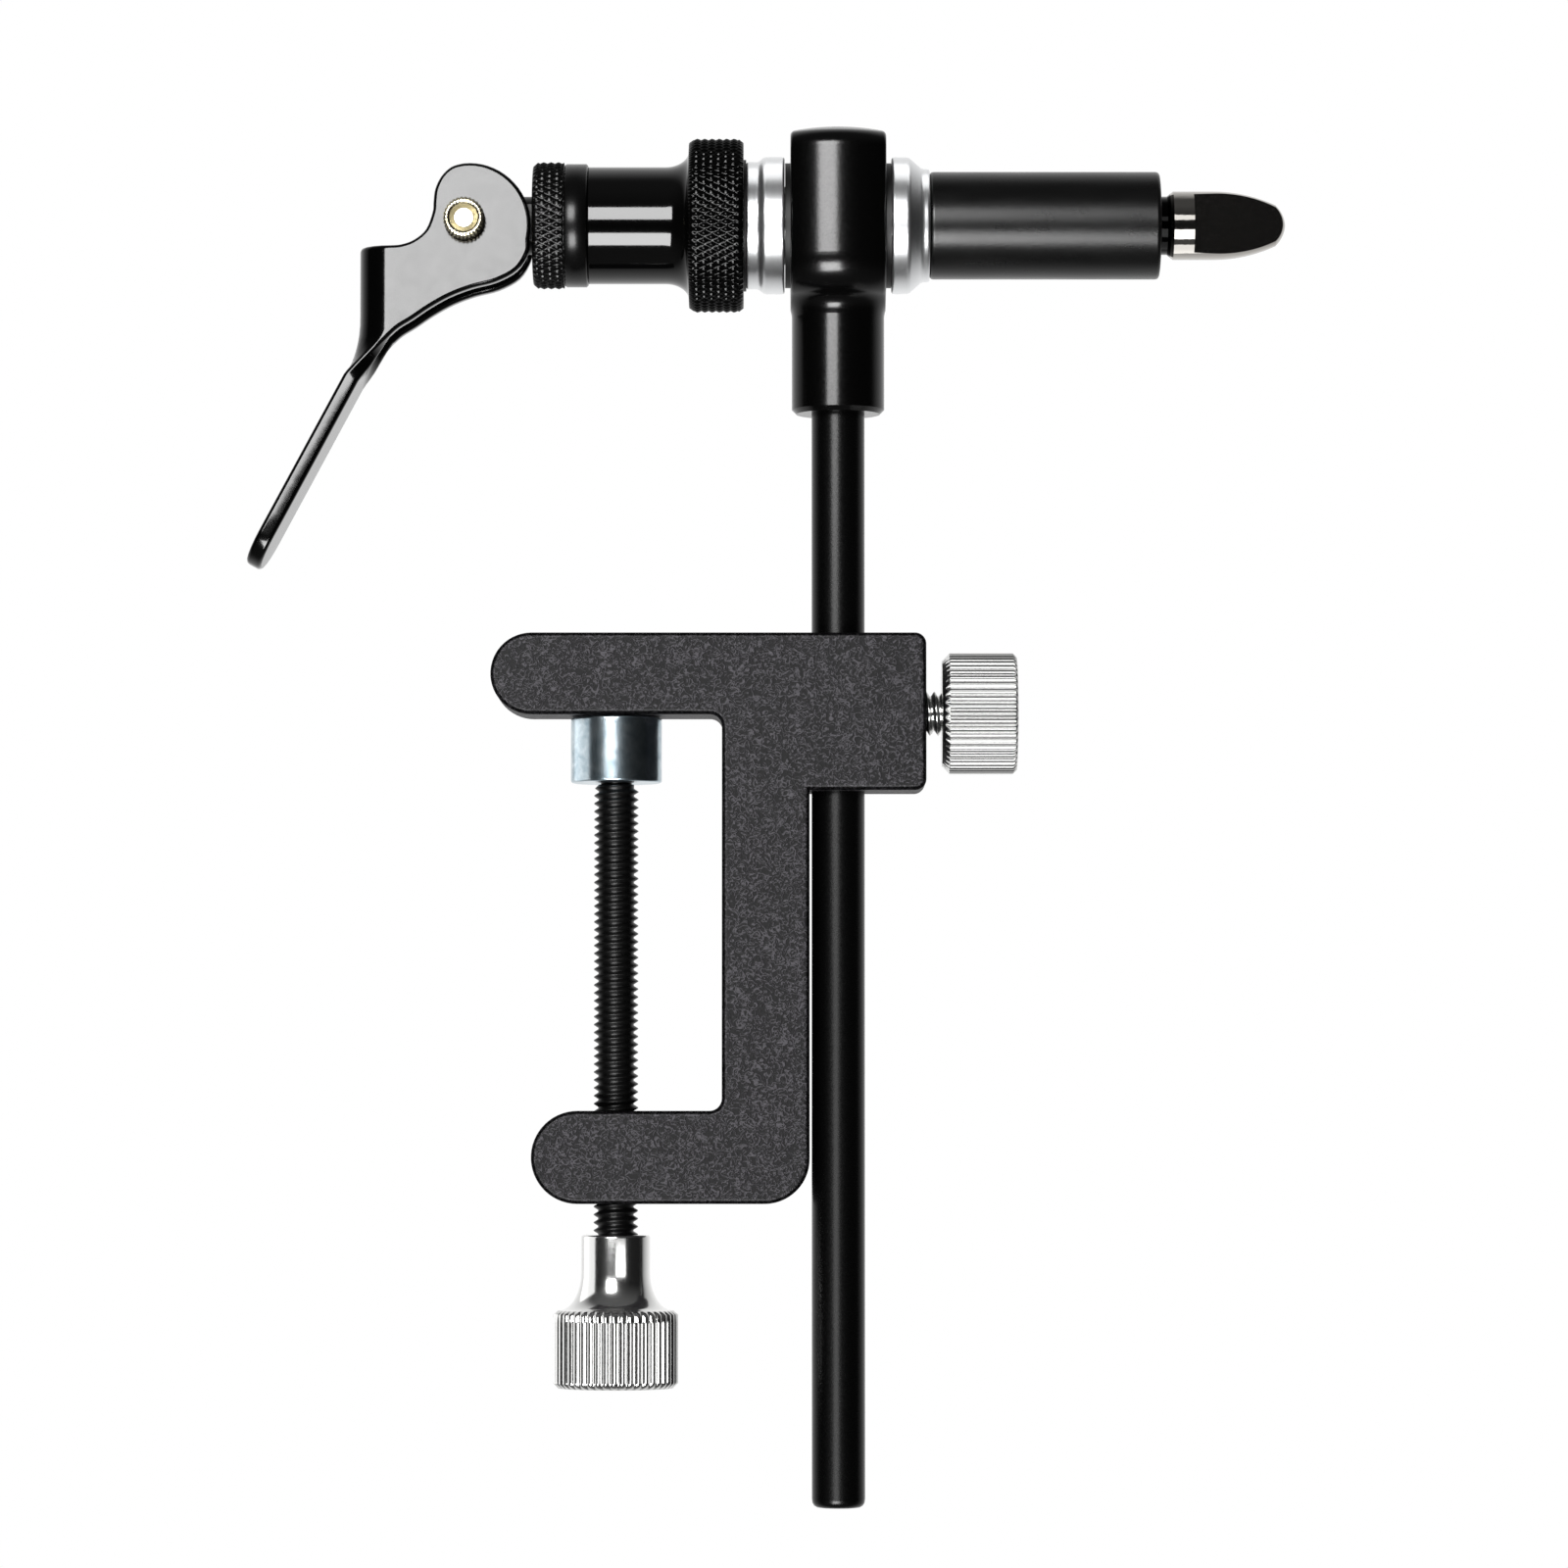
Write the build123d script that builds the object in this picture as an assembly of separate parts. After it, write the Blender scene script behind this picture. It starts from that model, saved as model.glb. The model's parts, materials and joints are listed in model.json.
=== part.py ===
from build123d import *
import math
import os

# Fly tying vise with a table clamp. Millimetres, +Z up, the viewer looks along +Y.
# The origin is the underside of the clamp's upper arm, above the clamp screw.

# Clearances
run_gap = 0.06
fit_gap = 0.02
face_gap = 0.10
cam_gap = 0.30
rest_gap = 0.20
overrun = 2.0

# Clamp frame
clamp_depth = 16.0
arm_height = 14.6
arm_reach = 22.3
throat = 70.5
lower_arm_height = 16.5
lower_arm_reach = 14.9
web_thick = 15.6
web_gap = 0.38
boss_drop = 13.5
boss_side = 15.65
heel_round = 8.0
inner_round = 2.2
boss_round = 2.0
frame_edge_round = 1.0

# Clamp screw, pad and knob
screw_dia = 7.94
pad_dia = 16.3
pad_height = 11.7
pad_edge_round = 0.7
pad_roof = 3.0
pad_lip = 2.6
pad_neck_dia = 5.6
pad_foot_dia = 7.4
pad_foot_height = 4.0
knob_drop = 5.6
knob_neck_dia = 12.3
knob_neck_height = 6.6
knob_flare_height = 6.8
knob_dia = 22.3
knob_grip_height = 13.8
knob_edge = 0.9
knob_neck_edge = 0.5
knob_floor = 4.0

# Stem and its lock screw
stem_dia = 9.525
stem_offset = 39.7
stem_drop = 141.0
stem_end_round = 1.6
socket_depth = 18.0
lock_dia = 7.94
lock_tip_chamfer = 0.8
lock_show = 2.9
lock_knob_dia = 21.7
lock_knob_length = 13.4
lock_knob_bevel = 1.4
lock_knob_edge = 0.7
lock_seat = 9.0

# Head, measured from the spindle axis
spindle_height = 88.5
head_dia = 29.2
head_flats = 17.1
head_rise = 17.45
head_dome = 2.55
head_edge_round = 3.2
head_flat_round = 0.9
head_skirt = 6.6
head_shoulder = 16.8
head_bulge_share = 0.65
head_drop = 34.1
socket_dia = 16.6
socket_chamfer = 0.8
bush_wall = 1.5
bush_length = 5.5
thrust_dia = 22.4
thrust_thick = 0.95

# Spindle, and the collars it carries
spindle_dia = 14.0
spindle_bore = 10.8
spindle_left_lap = 18.2
spindle_right_lap = 7.4
nose_dia = 24.5
nose_flange = 3.1
nose_cone = 2.35
nose_land = 1.4
drag_dia = 24.6
drag_step_dia = 22.8
drag_land = 3.65
drag_cove = 1.05
drag_step = 2.2
drag_washer_dia = 23.6
drag_washer_thick = 0.45
collar_edge = 0.5

# Rotary barrel with its grip ring
ring_dia = 31.2
ring_width = 9.8
ring_chamfer = 0.8
flare_dia = 27.0
flare_length = 4.2
barrel_dia = 21.0
barrel_length = 13.85

# Adjusting nut
nut_dia = 22.8
nut_grip = 5.7
nut_chamfer = 0.8
nut_shoulder_dia = 22.1
nut_shoulder = 4.1
nut_groove = 0.2
nut_spigot_dia = 15.8
nut_spigot = 9.0
nut_tail_depth = 8.8

# Sleeve, collet and jaws
sleeve_dia = 19.3
sleeve_length = 41.3
sleeve_edge_round = 0.9
mouth_depth = 7.45
mouth_angle = 5.0
jaw_dia = 12.3
jaw_neck_dia = 10.5
jaw_neck = 1.35
jaw_shoulder = 1.1
jaw_reach = 22.7
jaw_straight = 9.7
jaw_ogive = 11.2
jaw_ogive_drop = 2.45
jaw_nose_share = 0.62
jaw_root_dia = 9.0
jaw_split_gap = 0.10
jaw_flat_start = 6.1
jaw_flat_depth = 3.0
jaw_tip_thick = 2.0
flexure_back = 22.45
shank_dia = 9.4
shank_length = 11.0
shank_floor = 3.5

# Drawbar and its spring
tail_dia = 10.4
tail_flats = 8.0
tail_end = 5.4
tail_shoulder = 6.8
rod_dia = 6.4
stop_width = 3.0
spring_room = 22.0
spring_wire = 1.1
spring_dia = 9.6
spring_turns = 8
spring_sides = 8

# Cam lever, measured from its pin
cam_reach = 11.8
cam_rise = 0.89
cam_first_angle = -12.0
cam_last_angle = 100.0
cam_points = 9
lever_width = 14.2
sheet = 2.9
bend_round = 5.8
cheek_reach = 19.0
cheek_drop = 22.8
cheek_back = 5.6
cheek_back_round = 4.4
cheek_notch_round = 6.5
notch_inner_share = 0.158
notch_outer_share = 0.193
belly_shares = ((0.36, -0.37), (-0.06, -0.525), (-0.46, -0.74), (-0.70, -0.94))
handle_angle = 27.0
handle_length = 42.3
handle_tip_round = 6.0
handle_join_share = 0.16
pin_dia = 3.3
pin_head_dia = 6.4
pin_head = 1.8
pin_end = 0.5
pivot_nut_dia = 7.4
pivot_nut_height = 4.2
pivot_nut_recess_dia = 5.1
pivot_nut_recess = 1.2
pivot_nut_edge = 0.4

# Stations of the clamp
stem_radius = stem_dia / 2
web_right = stem_offset - stem_radius - web_gap
web_left = web_right - web_thick
boss_right = stem_offset + boss_side
frame_bottom = -throat - lower_arm_height
lock_height = (arm_height - boss_drop) / 2
pad_top = -rest_gap
pad_bottom = pad_top - pad_height
knob_top = frame_bottom - knob_drop
knob_shoulder = knob_top - knob_neck_height - knob_flare_height
knob_bottom = knob_shoulder - knob_grip_height
lock_knob_left = boss_right + lock_show
lock_knob_right = lock_knob_left + lock_knob_length

# Stations along the spindle, outwards from the head's flats
bush_dia = spindle_dia + 2 * bush_wall
head_left = stem_offset - head_flats / 2
head_right = stem_offset + head_flats / 2
drag_right = head_left - thrust_thick - face_gap
drag_left = drag_right - drag_land - drag_cove - drag_step
ring_right = drag_left - drag_washer_thick
ring_left = ring_right - ring_width
flare_left = ring_left - flare_length
barrel_left = flare_left - barrel_length
nut_right = barrel_left - face_gap
nut_waist = nut_right - nut_shoulder
nut_left = nut_waist - nut_grip
nut_inner = nut_right + nut_spigot
nut_step = nut_left + nut_tail_depth
pin_x = nut_left - cam_gap - cam_reach
nose_left = head_right + thrust_thick + face_gap
nose_right = nose_left + nose_flange + nose_cone + nose_land
sleeve_left = nose_right
sleeve_right = sleeve_left + sleeve_length
spindle_left = ring_right - spindle_left_lap
spindle_right = sleeve_left + spindle_right_lap
mouth_start = sleeve_right - mouth_depth
mouth_taper = math.tan(math.radians(mouth_angle))
mouth_bore = jaw_neck_dia + 2 * rest_gap
throat_bore = mouth_bore - 2 * mouth_depth * mouth_taper
flexure_x = sleeve_right - flexure_back
shank_right = flexure_x + face_gap
shank_left = shank_right - shank_length
jaw_root = shank_right + rest_gap
jaw_tip = sleeve_right + jaw_reach
tail_right = nut_left + tail_shoulder
stop_left = nut_inner + spring_room
socket_bottom = spindle_height - head_drop
stem_top = socket_bottom + socket_depth

spindle_axis = Axis((0, 0, spindle_height), (1, 0, 0))


def along_spindle(points):
    """Points in the XZ plane from distances along the spindle and radii round it."""
    return [(x, 0, spindle_height + radius) for x, radius in points]


def corner(shape, point):
    """The vertex of a flat shape that lies at a point."""
    return shape.vertices().sort_by_distance(point)[0]


def rounded(shape, points, radius):
    """A flat shape with its corners at the given points rounded."""
    return fillet([corner(shape, point) for point in points], radius)


def turned(points):
    """A solid of revolution round the spindle."""
    return revolve(make_face(Polyline(*along_spindle(points), close=True)), axis=spindle_axis)


def tube(left, right, outer_dia, inner_dia, edge=0):
    """A plain ring round the spindle, its outer edges chamfered."""
    outer = outer_dia / 2
    inner = inner_dia / 2
    points = [(left, inner), (right, inner)]
    if edge:
        points += [(right, outer - edge), (right - edge, outer), (left + edge, outer), (left, outer - edge)]
    else:
        points += [(right, outer), (left, outer)]
    return turned(points)


def upright(points, axis_x):
    """A solid of revolution round a vertical axis, from radii and heights."""
    outline = [(axis_x + radius, 0, z) for radius, z in points]
    axis = Axis((axis_x, 0, 0), (0, 0, 1))
    return revolve(make_face(Polyline(*outline, close=True)), axis=axis)


def drill_up(x, low, high, diameter):
    """A vertical drill."""
    return Pos(x, 0, (low + high) / 2) * Cylinder(diameter / 2, high - low)


def drill_along(left, right, height, diameter):
    """A drill along X."""
    return Pos((left + right) / 2, 0, height) * Rot(0, 90, 0) * Cylinder(diameter / 2, right - left)


def drill_across(x, z, front, back, diameter):
    """A drill along Y."""
    return Pos(x, (front + back) / 2, z) * Rot(90, 0, 0) * Cylinder(diameter / 2, back - front)


def make_clamp_frame():
    """One bar bent into a C, with a boss for the stem."""
    upper_end = arm_height / 2
    lower_end = lower_arm_height / 2
    upper_low = (upper_end - arm_reach, 0, 0)
    upper_high = (upper_end - arm_reach, 0, arm_height)
    lower_high = (lower_end - lower_arm_reach, 0, -throat)
    lower_low = (lower_end - lower_arm_reach, 0, frame_bottom)
    inner_high = (web_left, 0, 0)
    inner_low = (web_left, 0, -throat)
    heel = (web_right, 0, frame_bottom)
    boss_inner = (web_right, 0, -boss_drop)
    boss_low = (boss_right, 0, -boss_drop)
    boss_high = (boss_right, 0, arm_height)
    edges = Polyline(upper_low, inner_high, inner_low, lower_high).edges()
    edges += [ThreePointArc(lower_high, (-lower_arm_reach, 0, lower_end + frame_bottom), lower_low)]
    edges += Polyline(lower_low, heel, boss_inner, boss_low, boss_high, upper_high).edges()
    edges += [ThreePointArc(upper_high, (-arm_reach, 0, upper_end), upper_low)]
    face = make_face(edges)
    face = rounded(face, [inner_high, inner_low], inner_round)
    face = rounded(face, [boss_low, boss_high], boss_round)
    face = rounded(face, [heel], heel_round)
    body = extrude(face, amount=clamp_depth / 2, both=True)
    sides = body.faces().sort_by(Axis.Y)
    body = fillet(sides[0].edges() + sides[-1].edges(), frame_edge_round)
    body -= drill_up(stem_offset, -boss_drop - overrun, arm_height + overrun, stem_dia + 2 * run_gap)
    body -= drill_up(0, frame_bottom - overrun, overrun - throat, screw_dia + 2 * run_gap)
    return body - drill_along(stem_offset, boss_right + overrun, lock_height, lock_dia + 2 * run_gap)


def make_clamp_pad():
    """Swivel pad, crimped round the foot of the screw."""
    pad = drill_up(0, pad_bottom, pad_top, pad_dia)
    pad = fillet(pad.edges(), pad_edge_round)
    foot_top = pad_top - pad_roof
    pad -= drill_up(0, foot_top - pad_foot_height - 2 * face_gap, foot_top, pad_foot_dia + 2 * run_gap)
    pad -= drill_up(0, pad_bottom - overrun, foot_top, pad_neck_dia + 2 * run_gap)
    return pad - drill_up(0, pad_bottom - overrun, pad_bottom + pad_lip, screw_dia + 2 * run_gap)


def make_clamp_screw():
    """Threaded rod with a necked foot that the pad turns on."""
    foot_top = pad_top - pad_roof - face_gap
    foot_low = foot_top - pad_foot_height
    thread_top = pad_bottom + pad_lip - face_gap
    rod_low = knob_bottom + knob_floor + fit_gap
    neck = pad_neck_dia / 2
    return upright(
        [
            (0, rod_low),
            (screw_dia / 2, rod_low),
            (screw_dia / 2, thread_top),
            (neck, thread_top),
            (neck, foot_low),
            (pad_foot_dia / 2, foot_low),
            (pad_foot_dia / 2, foot_top),
            (0, foot_top),
        ],
        0,
    )


def make_clamp_knob():
    """Grip with a flared neck, closed at the bottom."""
    bore = screw_dia / 2 + fit_gap
    neck = knob_neck_dia / 2
    grip = knob_dia / 2
    neck_low = knob_top - knob_neck_height
    low = knob_bottom
    start = (bore, 0, knob_top)
    neck_end = (neck, 0, neck_low)
    shoulder = (grip - knob_edge, 0, knob_shoulder)
    rim = [(neck - knob_neck_edge, 0, knob_top), (neck, 0, knob_top - knob_neck_edge)]
    outline = Polyline(start, *rim, neck_end).edges()
    outline += [TangentArc(neck_end, shoulder, tangent=(0, 0, -1))]
    outline += Polyline(
        shoulder,
        (grip, 0, knob_shoulder - knob_edge),
        (grip, 0, low + knob_edge),
        (grip - knob_edge, 0, low),
        (0, 0, low),
        (0, 0, low + knob_floor),
        (bore, 0, low + knob_floor),
        start,
    ).edges()
    return revolve(make_face(outline), axis=Axis.Z)


def make_lock_stud():
    """Threaded stud whose chamfered tip pinches the stem."""
    left = stem_offset + stem_radius + run_gap
    right = lock_knob_left + lock_seat
    radius = lock_dia / 2
    points = [(left, 0), (left, radius - lock_tip_chamfer), (left + lock_tip_chamfer, radius)]
    points += [(right, radius), (right, 0)]
    outline = [(x, 0, lock_height + r) for x, r in points]
    axis = Axis((0, 0, lock_height), (1, 0, 0))
    return revolve(make_face(Polyline(*outline, close=True)), axis=axis)


def make_lock_knob():
    """Thumb knob on the stud, bevelled on the side of the clamp."""
    left = lock_knob_left
    right = lock_knob_right
    grip = lock_knob_dia / 2
    points = [(left, 0), (left, grip - lock_knob_bevel), (left + lock_knob_bevel, grip)]
    points += [(right - lock_knob_edge, grip), (right, grip - lock_knob_edge), (right, 0)]
    outline = [(x, 0, lock_height + r) for x, r in points]
    axis = Axis((0, 0, lock_height), (1, 0, 0))
    knob = revolve(make_face(Polyline(*outline, close=True)), axis=axis)
    return knob - drill_along(left - overrun, left + lock_seat + fit_gap, lock_height, lock_dia + 2 * fit_gap)


def make_stem():
    """Plain rod with a rounded lower end."""
    rod = drill_up(stem_offset, -stem_drop, stem_top, stem_dia)
    lower = rod.edges().sort_by(Axis.Z)[0]
    return fillet(lower, stem_end_round)


def make_head_housing():
    """Turned body with a domed top, an S-shaped shoulder and a socket, milled flat on two sides."""
    wall = head_dia / 2
    socket = socket_dia / 2
    top = spindle_height + head_rise
    rim = top - head_dome
    skirt = spindle_height - head_skirt
    shoulder = spindle_height - head_shoulder
    centre = (stem_offset, 0, top)
    edge = (stem_offset + wall, 0, rim)
    skirt_end = (stem_offset + wall, 0, skirt)
    shoulder_end = (stem_offset + socket, 0, shoulder)
    outline = [TangentArc(centre, edge, tangent=(1, 0, 0)), Line(edge, skirt_end)]
    turn_x = socket + (wall - socket) * (1 - head_bulge_share)
    turn_z = skirt + (shoulder - skirt) * head_bulge_share
    turn = (stem_offset + turn_x, 0, turn_z)
    outline += [TangentArc(skirt_end, turn, tangent=(0, 0, -1))]
    outline += [TangentArc(shoulder_end, turn, tangent=(0, 0, 1))]
    outline += Polyline(
        shoulder_end,
        (stem_offset + socket, 0, socket_bottom + socket_chamfer),
        (stem_offset + socket - socket_chamfer, 0, socket_bottom),
        (stem_offset, 0, socket_bottom),
        centre,
    ).edges()
    profile = rounded(make_face(outline), [edge], head_edge_round)
    body = revolve(profile, axis=Axis((stem_offset, 0, 0), (0, 0, 1)))
    height = head_rise + head_drop
    slab = Box(head_flats, head_dia, height)
    body &= Pos(stem_offset, 0, top - height / 2) * slab
    flats = body.faces().filter_by(GeomType.PLANE).filter_by(Axis.X).edges()
    body = fillet(flats, head_flat_round)
    body -= drill_along(head_left - overrun, head_right + overrun, spindle_height, bush_dia)
    return body - drill_up(stem_offset, socket_bottom - overrun, stem_top, stem_dia + 2 * fit_gap)


def make_bush(left):
    """Plain bearing, flush with its flat."""
    return tube(left, left + bush_length, bush_dia - 2 * fit_gap, spindle_dia + 2 * run_gap)


def make_thrust_washer(left):
    """Washer between the head and a collar."""
    return tube(left, left + thrust_thick, thrust_dia, spindle_dia + 2 * run_gap)


def make_nose_collar():
    """Flanged collar that tapers to the sleeve."""
    bore = spindle_dia / 2 + fit_gap
    flange = nose_dia / 2
    land = sleeve_dia / 2
    cone_left = nose_left + nose_flange
    return turned(
        [
            (nose_left, bore),
            (nose_left, flange - collar_edge),
            (nose_left + collar_edge, flange),
            (cone_left - collar_edge, flange),
            (cone_left, flange - collar_edge),
            (cone_left + nose_cone, land),
            (nose_right, land),
            (nose_right, bore),
        ]
    )


def make_drag_collar():
    """Collar with a cove between its two diameters."""
    bore = spindle_dia / 2 + fit_gap
    land = drag_dia / 2
    step = drag_step_dia / 2
    cove_left = drag_left + drag_step
    cove_right = cove_left + drag_cove
    cove_start = (cove_left, 0, spindle_height + step)
    cove_end = (cove_right, 0, spindle_height + land)
    left = [(drag_left, bore), (drag_left, step - collar_edge), (drag_left + collar_edge, step)]
    right = [(drag_right - collar_edge, land), (drag_right, land - collar_edge), (drag_right, bore)]
    start = along_spindle(left)
    edges = Polyline(*start, cove_start).edges()
    edges += [TangentArc(cove_start, cove_end, tangent=(1, 0, 0))]
    edges += Polyline(cove_end, *along_spindle(right), start[0]).edges()
    return revolve(make_face(edges), axis=spindle_axis)


def make_rotary_barrel():
    """Barrel that flares to the grip ring, bored for the spindle and the nut."""
    bore = spindle_dia / 2 + fit_gap
    nut_bore = nut_spigot_dia / 2 + run_gap
    barrel = barrel_dia / 2
    ring = ring_dia / 2
    flare_start = (flare_left, 0, spindle_height + barrel)
    flare_end = (ring_left, 0, spindle_height + flare_dia / 2)
    outline = along_spindle([(spindle_left, nut_bore), (barrel_left, nut_bore), (barrel_left, barrel)])
    edges = Polyline(*outline, flare_start).edges()
    edges += [TangentArc(flare_start, flare_end, tangent=(1, 0, 0))]
    grip = [
        (ring_left, ring - ring_chamfer),
        (ring_left + ring_chamfer, ring),
        (ring_right - ring_chamfer, ring),
        (ring_right, ring - ring_chamfer),
        (ring_right, bore),
        (spindle_left, bore),
    ]
    edges += Polyline(flare_end, *along_spindle(grip), outline[0]).edges()
    return revolve(make_face(edges), axis=spindle_axis)


def make_adjusting_nut():
    """Knurled nut with a spigot in the barrel; the cams bear on its left face."""
    grip = nut_dia / 2
    shoulder = nut_shoulder_dia / 2
    spigot = nut_spigot_dia / 2
    tail = tail_dia / 2 + run_gap
    rod = rod_dia / 2 + rest_gap
    return turned(
        [
            (nut_left, tail),
            (nut_left, grip - nut_chamfer),
            (nut_left + nut_chamfer, grip),
            (nut_waist - nut_groove, grip),
            (nut_waist, shoulder - nut_groove),
            (nut_waist + nut_groove, shoulder),
            (nut_right, shoulder),
            (nut_right, spigot),
            (nut_inner, spigot),
            (nut_inner, rod),
            (nut_step, rod),
            (nut_step, tail),
        ]
    )


def make_collet_sleeve():
    """Sleeve over the jaws, its mouth coned to close them."""
    outer = sleeve_dia / 2
    seat = spindle_dia / 2 + fit_gap
    bore = throat_bore / 2
    points = [
        (sleeve_left, seat),
        (spindle_right, seat),
        (spindle_right, bore),
        (mouth_start, bore),
        (sleeve_right, mouth_bore / 2),
        (sleeve_right, outer),
        (sleeve_left, outer),
    ]
    sleeve = turned(points)
    rim = sleeve.edges().filter_by(GeomType.CIRCLE).group_by(SortBy.RADIUS)[-1]
    return fillet(rim.sort_by(Axis.X)[-1], sleeve_edge_round)


def make_collet_shank():
    """Round root of the two jaws, screwed on the drawbar."""
    shank = tube(shank_left, shank_right, shank_dia, rod_dia + 2 * fit_gap, collar_edge)
    plug_left = shank_right - shank_floor
    return shank + drill_along(plug_left, shank_right, spindle_height, shank_dia - 2 * collar_edge)


def make_jaw(side):
    """Half of the bullet-shaped collet; side is -1 for the front half and 1 for the back half."""
    radius = jaw_dia / 2
    neck = jaw_neck_dia / 2
    root = jaw_root_dia / 2
    cone_left = sleeve_right - (neck - root) / mouth_taper
    neck_right = sleeve_right + jaw_neck
    ogive_start = (sleeve_right + jaw_straight, 0, spindle_height + radius)
    ogive_end = (ogive_start[0] + jaw_ogive, 0, spindle_height + radius - jaw_ogive_drop)
    tip = (jaw_tip, 0, spindle_height)
    nose_x = ogive_end[0] + (jaw_tip - ogive_end[0]) * jaw_nose_share
    nose = (nose_x, 0, spindle_height + (radius - jaw_ogive_drop) * jaw_nose_share)
    back = along_spindle([(jaw_root, 0), (jaw_root, root), (cone_left, root), (sleeve_right, neck)])
    back += along_spindle([(neck_right, neck), (neck_right + jaw_shoulder, radius)])
    edges = Polyline(*back, ogive_start).edges()
    edges += [TangentArc(ogive_start, ogive_end, tangent=(1, 0, 0))]
    edges += [ThreePointArc(ogive_end, nose, tip), Line(tip, back[0])]
    bullet = revolve(make_face(edges), axis=spindle_axis)
    first = sleeve_right + jaw_flat_start
    last = jaw_tip + overrun
    face = radius - jaw_flat_depth
    slope = (face - jaw_tip_thick) / (jaw_tip - first)
    deep = face - slope * (last - first)
    outline = [(first, -face, 0), (last, -deep, 0), (last, -jaw_dia, 0), (first, -jaw_dia, 0)]
    wedge = extrude(make_face(Polyline(*outline, close=True)), amount=jaw_dia, both=True)
    bullet -= Pos(0, 0, spindle_height) * wedge
    length = jaw_tip - jaw_root
    half = Box(length, jaw_dia, jaw_dia)
    half = Pos((jaw_tip + jaw_root) / 2, -(jaw_dia + jaw_split_gap) / 2, spindle_height) * half
    front = bullet & half
    if side < 0:
        return front
    return mirror(front, about=Plane.XZ)


def make_spindle_tube():
    """Hollow spindle that turns in the bushes."""
    return tube(spindle_left, spindle_right, spindle_dia, spindle_bore)


def make_drawbar():
    """Rod from the lever's pin to the collet, with a flatted tail and a stop for the spring."""
    tail = tail_dia / 2
    rod = rod_dia / 2
    tail_left = pin_x - tail_end
    rod_right = shank_right - shank_floor - fit_gap
    bar = turned(
        [
            (tail_left, 0),
            (tail_left, tail),
            (tail_right, tail),
            (tail_right, rod),
            (stop_left, rod),
            (stop_left, tail),
            (stop_left + stop_width, tail),
            (stop_left + stop_width, rod),
            (rod_right, rod),
            (rod_right, 0),
        ]
    )
    flat_depth = tail - tail_flats / 2
    flat_length = nut_left - tail_left
    for side in (-1, 1):
        flat = Box(flat_length, flat_depth, tail_dia)
        bar -= Pos(tail_left + flat_length / 2, side * (tail - flat_depth / 2), spindle_height) * flat
    return bar - drill_across(pin_x, spindle_height, -tail_dia, tail_dia, pin_dia + 2 * run_gap)


def make_return_spring():
    """Open coil round the drawbar, between the nut and the drawbar's stop."""
    coil = (spring_dia - spring_wire) / 2
    left = nut_inner + face_gap + spring_wire / 2
    length = spring_room - 2 * face_gap - spring_wire
    pitch = length / spring_turns
    path = Helix(pitch, length, coil)
    start = path @ 0
    section = Plane(origin=start, z_dir=path % 0) * RegularPolygon(spring_wire / 2, spring_sides)
    wire = sweep(section, path=path, is_frenet=True)
    return Pos(left, 0, spindle_height) * Rot(0, 90, 0) * wire


def cam_point(degrees):
    """Point of the cam whose reach falls evenly with the lever's turn."""
    turn = math.radians(degrees)
    reach = cam_reach - cam_rise * turn
    x = reach * math.cos(turn) + cam_rise * math.sin(turn)
    z = reach * math.sin(turn) - cam_rise * math.cos(turn)
    return (pin_x + x, 0, spindle_height + z)


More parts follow.
